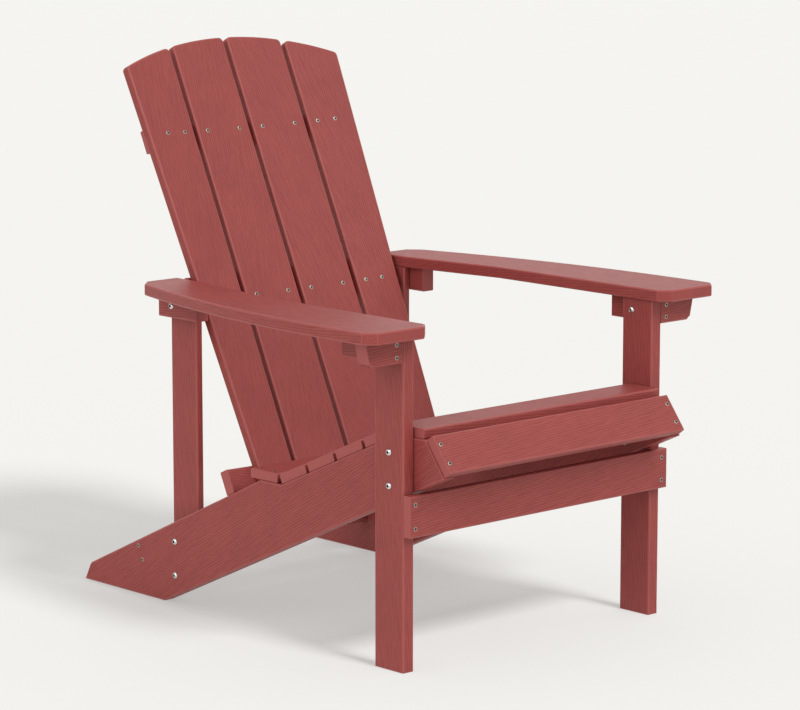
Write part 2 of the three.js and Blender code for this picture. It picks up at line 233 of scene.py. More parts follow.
def start_material(name, **sockets):
    """A new material, its node tree and its shader, with constant sockets set."""
    material = bpy.data.materials.new(name)
    material.use_nodes = True
    shader = material.node_tree.nodes["Principled BSDF"]
    for socket, value in sockets.items():
        shader.inputs[socket.replace("_", " ")].default_value = value
    return material, material.node_tree, shader


def scaled(tree, vector, x, y, z):
    """A vector multiplied along each axis."""
    return add_node(tree, "ShaderNodeVectorMath", {0: vector, 1: (x, y, z)}, operation="MULTIPLY").outputs[0]


def dress(tree, shader, colour, roughness, relief):
    """Links a material's colour, dullness and relief to its shader."""
    tree.links.new(colour, shader.inputs["Base Color"])
    tree.links.new(roughness, shader.inputs["Roughness"])
    tree.links.new(relief.outputs[0], shader.inputs["Normal"])


def board_coordinates(tree):
    """The board's own coordinates in millimetres: X along the grain. Each board starts at
    another place in the pattern, so no two boards look alike."""
    place = add_node(tree, "ShaderNodeTexCoord").outputs["Object"]
    turn, start = (
        add_node(tree, "ShaderNodeAttribute", attribute_type="OBJECT", attribute_name=name)
        for name in ("grain_turn", "grain_start"))
    own = add_node(tree, "ShaderNodeVectorRotate", {
        "Vector": place, "Rotation": turn.outputs["Vector"]}, rotation_type="EULER_XYZ")
    millimetres = scaled(tree, own.outputs[0], 1 / MM, 1 / MM, 1 / MM)
    return add_node(tree, "ShaderNodeVectorMath", {
        0: millimetres, 1: start.outputs["Vector"]}, operation="ADD").outputs[0]


def embossed_polyethylene_face(settings):
    """Recycled polyethylene lumber, extruded and run under a wood-grain roller: a dull satin
    skin with long, thin, wandering grooves, and a faint cloudiness in the dye."""
    material, tree, shader = start_material("embossed_polyethylene_face", **POLYETHYLENE)
    place = board_coordinates(tree)
    spacing = settings.grain_spacing / MM
    stretch = spacing / (settings.grain_length / MM)
    # A diagonal wave repeats every 2 * pi / 10 of its vector, across both pairs of faces.
    turn = 2 * math.pi / 10 / spacing
    along = scaled(tree, place, turn * stretch, turn, turn)
    lines = add_node(tree, "ShaderNodeTexWave", {
        "Vector": along, "Scale": 1, "Distortion": 4, "Detail": 2, "Detail Scale": 1.6,
        "Detail Roughness": 0.6}, wave_type="BANDS", bands_direction="DIAGONAL", wave_profile="SIN")
    # Streaks are 28 mm long and 1.6 mm wide, and the clouds in the dye 70 mm across.
    streaks = add_node(tree, "ShaderNodeTexNoise", {
        "Vector": scaled(tree, place, 1 / 28, 1 / 1.6, 1 / 1.6), "Scale": 1, "Detail": 2,
        "Roughness": 0.55})
    grit = add_node(tree, "ShaderNodeTexNoise", {"Vector": place, "Scale": 1.1, "Detail": 2})
    clouds = add_node(tree, "ShaderNodeTexNoise", {
        "Vector": place, "Scale": 1 / 70, "Detail": 3, "Roughness": 0.5})
    height = add_node(tree, "ShaderNodeMix", {
        "Factor": 0.45, 2: lines.outputs["Fac"], 3: streaks.outputs["Fac"]}, data_type="FLOAT")
    gritty = add_node(tree, "ShaderNodeMix", {
        "Factor": 0.12, 2: height.outputs[0], 3: grit.outputs["Fac"]}, data_type="FLOAT")
    groove = add_node(tree, "ShaderNodeMapRange", {
        "Value": height.outputs[0], "From Min": 0.62, "From Max": 0.3})
    dyed = add_node(tree, "ShaderNodeMix", {
        "Factor": groove.outputs[0], 6: settings.face_colour, 7: settings.groove_colour},
        data_type="RGBA")
    cloud_tone = add_node(tree, "ShaderNodeMapRange", {
        "Value": clouds.outputs["Fac"], "From Min": 0.3, "From Max": 0.7,
        "To Min": 0.95, "To Max": 1.05})
    toned = add_node(tree, "ShaderNodeHueSaturation", {
        "Color": dyed.outputs[2], "Value": cloud_tone.outputs[0]})
    sheen = add_node(tree, "ShaderNodeMapRange", {
        "Value": height.outputs[0],
        "To Min": settings.roughness + 0.1, "To Max": settings.roughness - 0.06})
    relief = add_node(tree, "ShaderNodeBump", {
        "Height": gritty.outputs[0], "Distance": settings.grain_depth, "Strength": 1.0})
    dress(tree, shader, toned.outputs[0], sheen.outputs[0], relief)
    return material


def smooth_edge_painted_highlight(settings):
    """The same lumber where the extruder's die rounds the edges: smoother, and painted a little
    paler as a highlight, so that each board is outlined by a thin soft painted highlight."""
    material, tree, shader = start_material("smooth_edge_painted_highlight", **POLYETHYLENE)
    place = board_coordinates(tree)
    # The die draws lines 40 mm long and 1.2 mm wide.
    lines = add_node(tree, "ShaderNodeTexNoise", {
        "Vector": scaled(tree, place, 1 / 40, 1 / 1.2, 1 / 1.2), "Scale": 1, "Detail": 2})
    # Painted highlight: the die's lines mix the face colour with the paler highlight colour.
    colour = add_node(tree, "ShaderNodeMix", {
        "Factor": lines.outputs["Fac"], 6: settings.face_colour, 7: settings.edge_highlight_colour},
        data_type="RGBA")
    dull = add_node(tree, "ShaderNodeMapRange", {
        "Value": lines.outputs["Fac"],
        "To Min": settings.roughness, "To Max": settings.roughness - 0.14})
    relief = add_node(tree, "ShaderNodeBump", {
        "Height": lines.outputs["Fac"], "Distance": 0.08 * MM, "Strength": 1.0})
    dress(tree, shader, colour.outputs[2], dull.outputs[0], relief)
    return material


def sawn_polyethylene_end(settings):
    """The same lumber where a fine saw has crossed it: no embossing, a chalkier red, and faint
    arcs across the cut with the small pores of a foamed core."""
    material, tree, shader = start_material("sawn_polyethylene_end", **POLYETHYLENE)
    place = board_coordinates(tree)
    # The saw's marks are 1.2 to 1.5 mm apart and run 24 mm across the board.
    cuts = add_node(tree, "ShaderNodeTexNoise", {
        "Vector": scaled(tree, place, 1 / 1.2, 1 / 24, 1 / 1.5), "Scale": 1, "Detail": 2})
    pores = add_node(tree, "ShaderNodeTexVoronoi", {"Vector": place, "Scale": 0.9}, feature="F1")
    pitted = add_node(tree, "ShaderNodeMapRange", {
        "Value": pores.outputs["Distance"], "From Min": 0.05, "From Max": 0.3})
    surface = add_node(tree, "ShaderNodeMix", {
        "Factor": 0.35, 2: cuts.outputs["Fac"], 3: pitted.outputs[0]}, data_type="FLOAT")
    colour = add_node(tree, "ShaderNodeMix", {
        "Factor": surface.outputs[0], 6: settings.face_colour, 7: settings.sawn_colour},
        data_type="RGBA")
    relief = add_node(tree, "ShaderNodeBump", {
        "Height": surface.outputs[0], "Distance": 0.12 * MM, "Strength": 1.0})
    dull = add_node(tree, "ShaderNodeMapRange", {
        "Value": surface.outputs[0],
        "To Min": settings.roughness + 0.16, "To Max": settings.roughness + 0.04})
    dress(tree, shader, colour.outputs[2], dull.outputs[0], relief)
    return material


def zinc_plated_steel(name, colour, roughness, blotch):
    """Zinc-plated steel: cold-headed metal under a thin plate, bright or dulled by its
    passivation, with fine blotches and turning marks too small to see one by one."""
    material, tree, shader = start_material(name, Metallic=1.0)
    place = add_node(tree, "ShaderNodeTexCoord").outputs["Object"]
    # Plating blotches are 0.5 mm across, and the marks of heading and turning 0.1 mm.
    blotches = add_node(tree, "ShaderNodeTexNoise", {
        "Vector": place, "Scale": 1 / (0.5 * MM), "Detail": 3})
    marks = add_node(tree, "ShaderNodeTexNoise", {
        "Vector": place, "Scale": 1 / (0.1 * MM), "Detail": 1})
    darker = tuple(c * (1 - blotch) for c in colour[:3]) + (1,)
    plated = add_node(tree, "ShaderNodeMix", {
        "Factor": blotches.outputs["Fac"], 6: darker, 7: colour}, data_type="RGBA")
    dull = add_node(tree, "ShaderNodeMapRange", {
        "Value": blotches.outputs["Fac"], "To Min": roughness + 0.1, "To Max": roughness - 0.06})
    relief = add_node(tree, "ShaderNodeBump", {
        "Height": marks.outputs["Fac"], "Distance": 0.01 * MM, "Strength": 1.0})
    dress(tree, shader, plated.outputs[2], dull.outputs[0], relief)
    return material


def chair_collection():
    """The collection that holds the chair's pieces, which the key, side and rear lights shine on."""
    collection = bpy.data.collections.get("garden_chair")
    if not collection:
        collection = bpy.data.collections.new("garden_chair")
        bpy.context.scene.collection.children.link(collection)
    return collection


def material_named(name, make, *values, **finish):
    """The material of that name, made on first use."""
    return bpy.data.materials.get(name) or make(*values, **finish)


def plated(name, colour, **finish):
    """A plated steel of that name, made on first use."""
    return material_named(name, zinc_plated_steel, name, tuple(colour), **finish)


def lumber_materials():
    """The board's three surfaces, in the order of its material slots."""
    settings = bpy.context.scene.chair_lumber
    return [
        material_named("embossed_polyethylene_face", embossed_polyethylene_face, settings),
        material_named("smooth_edge_painted_highlight", smooth_edge_painted_highlight, settings),
        material_named("sawn_polyethylene_end", sawn_polyethylene_end, settings),
    ]


def bolt_material():
    """The bright plate of the bolts, which catches the light on each button head."""
    colour = bpy.context.scene.chair_hardware.bolt_colour
    return plated("bright_zinc_plated_steel", colour, roughness=0.2, blotch=0.12)


def recess_shade_material():
    """Painted shade in the drivers' recesses: a nearly black steel that stands in for the shadow
    inside each recess, so that each head shows its recess."""
    return plated("oiled_bare_steel_recess", hex_colour("#3a3733"), roughness=0.55, blotch=0.4)


def zinc_material():
    """The duller plate of the nuts and wood screws, which sit quietly in the red."""
    colour = bpy.context.scene.chair_hardware.zinc_colour
    return plated("dull_zinc_plated_steel", colour, roughness=0.36, blotch=0.3)


# ---------------------------------------------------------------------------------------
# Boards
# ---------------------------------------------------------------------------------------


class Board:
    """A board's outline and own axes, read from its node: X along the grain, Z through its
    thickness, and the origin in its middle. The grain follows the longest straight edge, or
    runs straight across the chair in the curved rails."""

    weld = 0.01 * MM  # corners nearer than this are one
    skin = 0.05 * MM  # depth within which a face counts as the board's outermost
    tie = 0.999  # patches this close to the largest one's area count as equal

    def __init__(self, node):
        mesh = bmesh.new()
        mesh.from_mesh(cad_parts[node].data)
        bmesh.ops.remove_doubles(mesh, verts=mesh.verts, dist=self.weld)
        patches = {}
        for face in mesh.faces:
            patches.setdefault(tuple(round(c, 3) + 0.0 for c in face.normal), []).append(face)
        areas = {key: sum(face.calc_area() for face in faces) for key, faces in patches.items()}
        largest = max(areas.values())
        widest = patches[max(key for key, area in areas.items() if area > self.tie * largest)]
        through = max(widest, key=lambda face: face.calc_area()).normal.copy()
        depths = [vertex.co.dot(through) for vertex in mesh.verts]
        outermost = max(depths) - self.skin
        cap = [face for face in mesh.faces
               if all(vertex.co.dot(through) > outermost for vertex in face.verts)]
        outline = straightened(longest_loop(cap))
        mesh.free()
        edges = [b - a for a, b in zip(outline, outline[1:] + outline[:1])]
        along = max(edges, key=lambda edge: (round(edge.length, 5), tuple(edge))).normalized()
        along *= math.copysign(1, max(along, key=abs))
        if node in CURVED_RAILS:
            along = Vector((1, 0, 0))
        axes = Matrix((along, through.cross(along), through)).transposed()
        flat = [axes.transposed() @ point for point in outline]
        low = [min(point[i] for point in flat) for i in (0, 1)] + [min(depths)]
        high = [max(point[i] for point in flat) for i in (0, 1)] + [max(depths)]
        middle = Vector((a + b) / 2 for a, b in zip(low, high))
        self.node = node
        self.size = Vector(b - a for a, b in zip(low, high))
        self.outline = [Vector((point.x - middle.x, point.y - middle.y)) for point in flat]
        self.matrix = Matrix.Translation(axes @ middle) @ axes.to_4x4()

    def across(self, point):
        """A point of the chair in the board's own coordinates."""
        return self.matrix.inverted() @ Vector(point)

    def face(self, towards):
        """The height of the board's face on the side of a direction of the chair."""
        way = self.matrix.to_3x3().transposed() @ Vector(towards)
        return math.copysign(self.size.z / 2, way.z)


def longest_loop(faces):
    """The corners of the longest loop of edges round a patch of faces, in order."""
    inside = set(faces)
    border = {}
    for face in faces:
        for loop in face.loops:
            others = [near for near in loop.edge.link_faces if near is not face]
            if not any(near in inside for near in others):
                border[loop.vert] = loop.link_loop_next.vert
    loops = []
    while border:
        start = next(iter(border))
        walk = [start]
        while border[walk[-1]] is not start:
            walk.append(border[walk[-1]])
        for vertex in walk:
            del border[vertex]
        loops.append([vertex.co.copy() for vertex in walk])
    return max(loops, key=lambda loop: sum((a - b).length for a, b in zip(loop, loop[1:] + loop[:1])))


def straightened(loop):
    """A loop without the corners that lie on a straight line."""
    least_turn = math.radians(0.2)
    kept = []
    for before, corner, after in zip(loop[-1:] + loop[:-1], loop, loop[1:] + loop[:1]):
        if (corner - before).angle(after - corner) > least_turn:
            kept.append(corner)
    return kept


def grain_start(node):
    """A place in the grain pattern, in millimetres, worked out from the board's own name."""
    number = sum((i + 1) * ord(letter) for i, letter in enumerate(node))
    return Vector((number * 37 % 1999, number * 53 % 1777, number * 71 % 1511))


def mesh_data(name, mesh, materials):
    """A finished mesh with its material slots."""
    data = bpy.data.meshes.new(name)
    mesh.to_mesh(data)
    mesh.free()
    for material in materials:
        data.materials.append(material)
    return data


def board_prism(board, routed):
    """A board's outline through its thickness, with square edges, and on each edge a weight
    for how far it is to be rounded."""
    along_grain = 0.7  # least cosine with the grain of an edge that is not cut across it
    true_corner = math.radians(20)  # least turn of a corner that is not a step of a curve
    settings = bpy.context.scene.chair_lumber
    mesh = bmesh.new()
    half = board.size.z / 2
    rings = [[mesh.verts.new((p.x, p.y, z)) for p in board.outline] for z in (-half, half)]
    mesh.faces.new(rings[0][::-1])
    mesh.faces.new(rings[1])
    count = len(board.outline)
    weights = mesh.edges.layers.float.new("bevel_weight_edge")
    end_weight = settings.end_radius / settings.edge_radius
    for i in range(count):
        j = (i + 1) % count
        side = mesh.faces.new((rings[0][i], rings[0][j], rings[1][j], rings[1][i]))
        run = (board.outline[j] - board.outline[i]).normalized()
        cross_cut = abs(run.x) < along_grain
        side.material_index = SAWN if cross_cut and not routed else FACE
        for edge in (e for e in side.edges if e.verts[0].co.z * e.verts[1].co.z > 0):
            edge[weights] = end_weight if cross_cut and not routed else 1
        before = (board.outline[i] - board.outline[i - 1]).normalized()
        if before.angle(run) > true_corner:
            corner = mesh.edges.get((rings[0][i], rings[1][i]))
            corner[weights] = end_weight
    bmesh.ops.recalc_face_normals(mesh, faces=mesh.faces)
    return mesh


def cut_board(node, routed=False, screws=()):
    """A board with rounded edges, cut to its node's outline and countersunk for its screws.
    A routed board is rounded all the way round, and any other only along the grain."""
    board = Board(node)
    data = mesh_data(node, board_prism(board, routed), lumber_materials())
    piece = bpy.data.objects.new(node + "_board", data)
    chair_collection().objects.link(piece)
    turn = board.matrix.to_3x3()
    data.transform(turn.to_4x4())
    piece.location = board.matrix.translation
    piece["grain_start"] = grain_start(node)
    piece["grain_turn"] = Vector(turn.transposed().to_euler("XYZ"))
    rounding = piece.modifiers.new("rounding", "BEVEL")
    rounding.limit_method = "WEIGHT"
    rounding.width = bpy.context.scene.chair_lumber.edge_radius
    rounding.segments = 3
    # The rounded edges take the slot with the painted highlight.
    rounding.material = ROUNDED
    rounding.miter_outer = "MITER_ARC"
    if screws:
        countersink(piece, screws)
    smooth(piece)
    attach(piece, "root")
    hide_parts(node)
    return piece


def countersink(piece, screws):
    """Cuts a cone for each screw head. A screw is (place, way out), in the chair's axes."""
    hardware = bpy.context.scene.chair_hardware
    rim = hardware.screw_head / 2 + 0.25 * MM
    mouth = rim + 0.3 * MM
    point = 0.6 * MM
    depth = 4.2 * MM
    proud = 1 * MM
    cone = [(0, -depth), (point, -depth), (rim, -hardware.screw_sink),
            (mouth, 0), (mouth, proud), (0, proud)]
    mesh = bmesh.new()
    for place, way in screws:
        lathe(mesh, cone, SCREW_SIDES, facing(place, way))
    data = mesh_data("countersinks", mesh, lumber_materials())
    for polygon in data.polygons:
        polygon.material_index = SAWN
    cutter = bpy.data.objects.new("countersinks", data)
    bpy.context.scene.collection.objects.link(cutter)
    sinking = piece.modifiers.new("countersinks", "BOOLEAN")
    sinking.operation = "DIFFERENCE"
    sinking.object = cutter
    sinking.solver = "EXACT"
    bake_modifiers(piece)
    bpy.data.objects.remove(cutter)


def bake_modifiers(piece):
    """Turns a piece's modifiers into its own mesh."""
    bpy.context.view_layer.update()
    shaped = piece.evaluated_get(bpy.context.evaluated_depsgraph_get())
    piece.data = bpy.data.meshes.new_from_object(shaped)
    piece.modifiers.clear()


def smooth(piece, angle=math.radians(35)):
    """Smooth shading up to an angle, with the flat faces kept flat."""
    if piece.modifiers:
        bake_modifiers(piece)
    piece.data.shade_smooth()
    piece.data.set_sharp_from_angle(angle=angle)
    flat = piece.modifiers.new("flat faces", "WEIGHTED_NORMAL")
    flat.keep_sharp = True


# ---------------------------------------------------------------------------------------
# Turned and headed metal
# ---------------------------------------------------------------------------------------


def facing(place, way):
    """Places a turned shape's foot at a point, with its own +Z along a direction."""
    return Matrix.Translation(place) @ Vector(way).to_track_quat("Z", "Y").to_matrix().to_4x4()


def turned_ring(mesh, radius, height, sides, matrix):
    """The corners of one ring of a turned shape, whose radius may be a function of the angle.
    A ring of no radius is a single corner on the axis."""
    if radius == 0:
        return [mesh.verts.new(matrix @ Vector((0, 0, height)))]
    ring = []
    for i in range(sides):
        angle = 2 * math.pi * i / sides
        reach = radius(angle) if callable(radius) else radius
        corner = Vector((reach * math.cos(angle), reach * math.sin(angle), height))
        ring.append(mesh.verts.new(matrix @ corner))
    return ring


def lathe(mesh, profile, sides, matrix, recessed=False):
    """Turns a closed shape: the profile holds (radius, height) from one end of the axis to the
    other. The last two bands of a recessed shape are the driver's recess, and take the second
    material, the painted shade of the recess."""
    rings = [turned_ring(mesh, radius, height, sides, matrix) for radius, height in profile]
    faces = []
    for band, (lower, upper) in enumerate(zip(rings, rings[1:])):
        for i in range(sides):
            j = (i + 1) % sides
            corners = [ring[k % len(ring)] for ring, k in ((lower, i), (lower, j), (upper, j), (upper, i))]
            face = mesh.faces.new(list(dict.fromkeys(corners)))
            # The recess's bands take the painted shade of the second material.
            face.material_index = int(recessed and band >= len(rings) - 3)
            faces.append(face)
    bmesh.ops.recalc_face_normals(mesh, faces=faces)


def polygon_radius(across_flats, corners):
    """The radius of a regular polygon's side at an angle."""
    step = 2 * math.pi / corners
    return lambda angle: across_flats / 2 / math.cos((angle + step / 2) % step - step / 2)


def cross_radius(tip, half_width, scale=1):
    """The radius of a plus-shaped recess at an angle."""
    def radius(angle):
        a = (angle + math.pi / 4) % (math.pi / 2) - math.pi / 4
        side = half_width / max(abs(math.sin(a)), 1e-6)
        return scale * min(tip / math.cos(a), side)
    return radius


def metal_piece(name, mesh, material, nodes=(), origin=None):
    """A turned or forged piece, and the nodes that it stands for."""
    if origin:
        mesh.transform(Matrix.Translation(-Vector(origin)))
    # The second slot is the painted shade of the drivers' recesses.
    piece = bpy.data.objects.new(name, mesh_data(name, mesh, [material, recess_shade_material()]))
    chair_collection().objects.link(piece)
    if origin:
        piece.location = origin
    smooth(piece, math.radians(30))
    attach(piece, "root")
    if nodes:
        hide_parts(*nodes)
    return piece


def thread_profile(radius, start, end, pitch):
    """Rings of a helical thread, four to each turn, from one height to another."""
    depth = 0.48 * pitch
    steps = round((end - start) / (pitch / 4))
    rings = []
    for i in range(steps + 1):
        height = start + (end - start) * i / steps
        def crest(angle, height=height):
            turn = (height / pitch + angle / (2 * math.pi)) % 1
            return radius - depth * abs(2 * turn - 1)
        rings.append((crest, height))
    return rings


def turn_bolt(node, head_way):
    """A button-head bolt in its node's box: domed head, hexagon socket and a threaded end."""
    hardware = bpy.context.scene.chair_hardware
    low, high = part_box(node)
    middle = (low + high) / 2
    way = Vector((head_way, 0, 0))
    length = high.x - low.x
    head_radius = (high.z - low.z) / 2
    head_height = 3.4 * MM
    socket_flats = 4.4 * MM
    socket_depth = 2 * MM
    point = 0.8 * MM
    thread_length = 14 * MM
    shank = SHANK_RADIUS
    face = Vector((high.x if head_way > 0 else low.x, middle.y, middle.z)) - way * head_height
    socket = polygon_radius(socket_flats, 6)
    floor = head_height - socket_depth
    dome = [(head_radius * math.cos(a), head_height * math.sin(a))
            for a in (math.radians(d) for d in (8, 18, 28, 38, 48, 56, 62))]
    tip = head_height - length
    thread_end = tip + thread_length
    profile = [(0, tip), (shank - point, tip)]
    profile += thread_profile(shank, tip + point, thread_end, hardware.thread_pitch)
    profile += [(shank, thread_end + 0.5 * MM), (shank, 0), (head_radius - 0.3 * MM, 0),
                (head_radius, 0.35 * MM), *dome,
                (2.75 * MM, head_height - 0.02 * MM), (2.5 * MM, head_height - 0.12 * MM),
                (socket, head_height - 0.3 * MM), (socket, floor), (0, floor - 0.6 * MM)]
    mesh = bmesh.new()
    lathe(mesh, profile, BOLT_SIDES, facing(face, way), recessed=True)
    return metal_piece(node + "_turned", mesh, bolt_material(), [node], middle)


def forge_nut(node):
    """A hexagon nut in its node's box, with both faces and both ends of the bore chamfered."""
    low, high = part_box(node)
    middle = (low + high) / 2
    height = high.x - low.x
    flats = 10 * MM
    hexagon = polygon_radius(flats, 6)

    def chamfered(reach):
        return lambda angle: min(hexagon(angle), reach)

    inner = SHANK_RADIUS + 0.14 * MM
    lip = 0.5 * MM
    rim = flats / 2 * 1.02
    half = [(chamfered(flats / 2 * 0.95), 0), (chamfered(rim), 0.35 * MM), (chamfered(rim * 1.1), 0.9 * MM)]
    outside = half + [(radius, height - z) for radius, z in reversed(half)]
    inside = [(inner + lip, height), (inner, height - lip), (inner, lip), (inner + lip, 0)]
    mesh = bmesh.new()
    matrix = facing(Vector((low.x, middle.y, middle.z)), (1, 0, 0))
    turned = [turned_ring(mesh, radius, z, BOLT_SIDES, matrix) for radius, z in outside + inside]
    for lower, upper in zip(turned, turned[1:] + turned[:1]):
        for i in range(BOLT_SIDES):
            j = (i + 1) % BOLT_SIDES
            mesh.faces.new((lower[i], lower[j], upper[j], upper[i]))
    bmesh.ops.recalc_face_normals(mesh, faces=mesh.faces)
    return metal_piece(node + "_forged", mesh, zinc_material(), [node], middle)


def add_screw(mesh, place, way):
    """A countersunk wood screw with a cross recess, its head's rim just below a face."""
    hardware = bpy.context.scene.chair_hardware
    head = hardware.screw_head / 2
    length = hardware.screw_length
    core, crest, pitch = 1.2 * MM, 1.9 * MM, 1.8 * MM
    recess_tip, recess_half_width = 2.4 * MM, 0.85 * MM
    cross = cross_radius(recess_tip, recess_half_width)
    deep = cross_radius(recess_tip, recess_half_width, 0.5)
    thread = []
    turns = round((length - 8 * MM) / pitch)
    for i in range(turns):
        z = -length + 3 * MM + i * pitch
        thread += [(core, z), (crest, z + pitch * 0.45), (core, z + pitch * 0.9)]
    neck = thread[-1][1] + 1 * MM
    shank = 1.6 * MM
    profile = [(0, -length), *thread, (shank, neck), (shank, -2.6 * MM),
               (head - 0.1 * MM, -0.25 * MM), (head, -0.1 * MM), (head - 0.15 * MM, 0),
               (2.8 * MM, 0.1 * MM), (cross, 0.1 * MM), (deep, -1.5 * MM), (0, -1.7 * MM)]
    sunk = Vector(place) - Vector(way) * hardware.screw_sink
    lathe(mesh, profile, SCREW_SIDES, facing(sunk, way), recessed=True)


# ---------------------------------------------------------------------------------------
# Where the screws go
# ---------------------------------------------------------------------------------------


def on_face(board, x, y, towards):
    """A screw on a board's face, at a place in the board's own coordinates."""
    z = board.face(towards)
    way = board.matrix.to_3x3() @ Vector((0, 0, math.copysign(1, z)))
    return board.matrix @ Vector((x, y, z)), way


def cross_board_screws(node, carriers, inset, towards):
    """Two screws over each carrying board, an inset in from each edge of the cross board."""
    board = Board(node)
    screws = []
    for carrier in carriers:
        low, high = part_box(carrier)
        x = board.across((low + high) / 2).x
        for y in (inset - board.size.y / 2, board.size.y / 2 - inset):
            screws.append(on_face(board, x, y, towards))
    return screws


# Screw rows on the back: the rail, how far above its middle the row is, and how far apart
# the two screws of an outer slat are.
BACK_ROWS = (
    ("back_rail_upper", 3.6 * MM, 38 * MM),
    ("back_rail_middle", -12.6 * MM, 35 * MM),
    ("back_rail_lower", 0, 33 * MM),
)


def back_slat_screws(node):
    """Two screws in a back slat at each rail."""
    slat = Board(node)
    low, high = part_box(node)
    outer = max(abs(low.x), abs(high.x)) > 0.15
    side = math.copysign(1, (low + high).x)
    inset = bpy.context.scene.chair_hardware.side_inset
    straight = min(abs(low.x), abs(high.x)) + inset
    screws = []
    for rail, rise, outer_gap in BACK_ROWS:
        rail_board = Board(rail)
        up = rail_board.matrix.to_3x3() @ Vector((0, 0, 1))
        up *= math.copysign(1, up.z)
        row = rail_board.matrix.translation + up * rise
        far = straight + outer_gap if outer else max(abs(low.x), abs(high.x)) - inset
        for x in (straight, far):
            place = slat.across((side * x, row.y, row.z))
            screws.append(on_face(slat, place.x, place.y, (0, -1, 0)))
    return screws


def stringer_screws(hand, side):
    """Two screws through a stringer's outer face into the end of the rear stretcher."""
    stretcher = Board("rear_stretcher")
    stringer = Board(f"side_stringer_{hand}")
    across = stretcher.matrix.to_3x3() @ Vector((0, 1, 0))
    inset = 7.5 * MM
    reach = stretcher.size.y / 2 - inset
    screws = []
    for step in (reach, -reach):
        place = stringer.across(stretcher.matrix.translation + across * step)
        screws.append(on_face(stringer, place.x, place.y, (side, 0, 0)))
    return screws


def cleat_screws(hand):
    """Two screws through a cleat into the end of the block behind it."""
    cleat = Board(f"front_arm_cleat_{hand}")
    low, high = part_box(f"front_arm_block_{hand}")
    inset = 10 * MM
    screws = []
    for z in (high.z - inset, low.z + inset):
        place = cleat.across(((low.x + high.x) / 2, low.y, z))
        screws.append(on_face(cleat, place.x, place.y, (0, -1, 0)))
    return screws


def seat_screws(node):
    """Two screws in a seat slat over each stringer."""
    return cross_board_screws(node, STRINGERS, 16 * MM, (0, 0, 1))


def make_screws(name, screws):
    """One piece that holds a group of like screws."""
    mesh = bmesh.new()
    for place, way in screws:
        add_screw(mesh, place, way)
    return metal_piece(name, mesh, zinc_material())


# ---------------------------------------------------------------------------------------
# Operators
# ---------------------------------------------------------------------------------------


class CHAIR_OT_stringers(bpy.types.Operator):
    """The two long side boards, from the nose of the seat down to the heels"""
    bl_idname = "chair.stringers"
    bl_label = "Side stringers"

    def execute(self, context):
        for hand, side in HANDS:
            screws = stringer_screws(hand, side)
            cut_board(f"side_stringer_{hand}", screws=screws)
            make_screws(f"rear_stretcher_screws_{hand}", screws)
        return {"FINISHED"}


class CHAIR_OT_legs(bpy.types.Operator):
    """The front legs and the thinner rear posts"""
    bl_idname = "chair.legs"
    bl_label = "Front legs and rear posts"

    def execute(self, context):
        for hand, _ in HANDS:
            cut_board(f"front_leg_{hand}")
            cut_board(f"rear_post_{hand}")
        return {"FINISHED"}


class CHAIR_OT_arms(bpy.types.Operator):
    """The arms, routed all round"""
    bl_idname = "chair.arms"
    bl_label = "Arms"

    def execute(self, context):
        for hand, _ in HANDS:
            cut_board(f"arm_{hand}", routed=True)
        return {"FINISHED"}


class CHAIR_OT_arm_supports(bpy.types.Operator):
    """The blocks under the arms and the slanted cleats at the front"""
    bl_idname = "chair.arm_supports"
    bl_label = "Arm blocks and cleats"

    def execute(self, context):
        for hand, _ in HANDS:
            cut_board(f"front_arm_block_{hand}")
            cut_board(f"rear_arm_block_{hand}")
            screws = cleat_screws(hand)
            cut_board(f"front_arm_cleat_{hand}", screws=screws)
            make_screws(f"cleat_screws_{hand}", screws)
        return {"FINISHED"}


class CHAIR_OT_seat(bpy.types.Operator):
    """The six seat slats and the slanted apron under the nose"""
    bl_idname = "chair.seat"
    bl_label = "Seat slats and apron"

    def execute(self, context):
        for node in SEAT_SLATS:
            cut_board(node, screws=seat_screws(node))
        make_screws("seat_slat_screws", [screw for node in SEAT_SLATS for screw in seat_screws(node)])
        apron = cross_board_screws("front_apron_slat", STRINGERS, 16.4 * MM, (0, -1, 0))
        cut_board("front_apron_slat", screws=apron)
        make_screws("apron_screws", apron)
        return {"FINISHED"}


class CHAIR_OT_back(bpy.types.Operator):
    """The four crowned back slats"""
    bl_idname = "chair.back"
    bl_label = "Back slats"

    def execute(self, context):
        for node in BACK_SLATS:
            screws = back_slat_screws(node)
            cut_board(node, routed=True, screws=screws)
            make_screws(node + "_screws", screws)
        return {"FINISHED"}


class CHAIR_OT_rails(bpy.types.Operator):
    """The three rails behind the back slats, and the front and rear stretchers"""
    bl_idname = "chair.rails"
    bl_label = "Rails and stretchers"

    def execute(self, context):
        for node in CURVED_RAILS:
            cut_board(node)
        cut_board("rear_stretcher")
        screws = cross_board_screws("front_stretcher", LEGS, 14 * MM, (0, -1, 0))
        cut_board("front_stretcher", screws=screws)
        make_screws("front_stretcher_screws", screws)
        return {"FINISHED"}


class CHAIR_OT_bolts(bpy.types.Operator):
    """The button-head bolts"""
    bl_idname = "chair.bolts"
    bl_label = "Bolts"

    def execute(self, context):
        for hand, side in HANDS:
            for level in ("upper", "lower"):
                turn_bolt(f"leg_bolt_{level}_{hand}", side)
                turn_bolt(f"post_bolt_{level}_{hand}", side)
            turn_bolt(f"rear_arm_bolt_{hand}", side)
            turn_bolt(f"front_arm_bolt_{hand}", -side)
        return {"FINISHED"}


class CHAIR_OT_nuts(bpy.types.Operator):
    """The hexagon nuts on the bolts' inner ends"""
    bl_idname = "chair.nuts"
    bl_label = "Nuts"

    def execute(self, context):
        for hand, _ in HANDS:
            for level in ("upper", "lower"):
                forge_nut(f"leg_nut_{level}_{hand}")
                forge_nut(f"post_nut_{level}_{hand}")
            forge_nut(f"front_arm_nut_{hand}")
        return {"FINISHED"}


